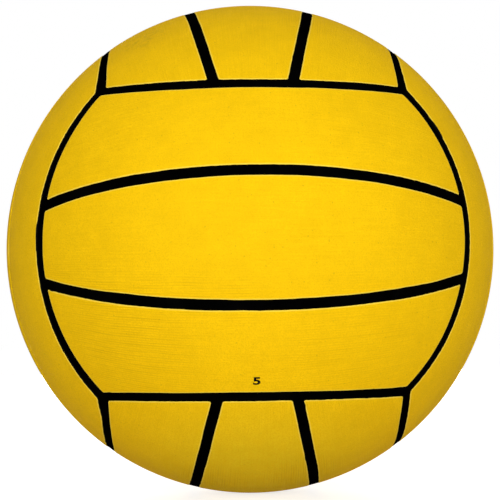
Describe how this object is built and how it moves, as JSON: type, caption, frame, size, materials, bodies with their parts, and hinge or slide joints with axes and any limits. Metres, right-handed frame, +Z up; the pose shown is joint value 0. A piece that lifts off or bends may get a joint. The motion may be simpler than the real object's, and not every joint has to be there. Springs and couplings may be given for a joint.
{
  "type": "water polo ball",
  "caption": "Size 5 water polo ball: yellow grip-rubber cover panels in the beds of a black ribbed carcass, over a wound layer, a bladder and a needle valve.",
  "frame": {"origin": "centre of the ball", "axes": "+Z up as pictured; -Y is the front, the face with horizontal strips that the picture shows; +Y is the valve's axis, out of the ball; +X to the right in the picture"},
  "size_m": [0.2212, 0.221, 0.2212],
  "materials": {
    "cover": "matte, fine grip lines",
    "carcass": "matte",
    "winding": "wound thread",
    "bladder": "satin",
    "valve": "satin"
  },
  "bodies": {
    "root": {"panel_front_upper": "cover", "panel_front_middle": "cover", "panel_front_lower": "cover", "panel_back_upper": "cover", "panel_back_middle": "cover", "panel_back_lower": "cover", "panel_right_front": "cover", "panel_right_middle": "cover", "panel_right_back": "cover", "panel_left_front": "cover", "panel_left_middle": "cover", "panel_left_back": "cover", "panel_top_left": "cover", "panel_top_middle": "cover", "panel_top_right": "cover", "panel_bottom_left": "cover", "panel_bottom_middle": "cover", "panel_bottom_right": "cover", "carcass": "carcass", "winding": "winding", "bladder": "bladder", "valve_housing": "valve", "valve_plug": "valve"}
  },
  "joints": []
}
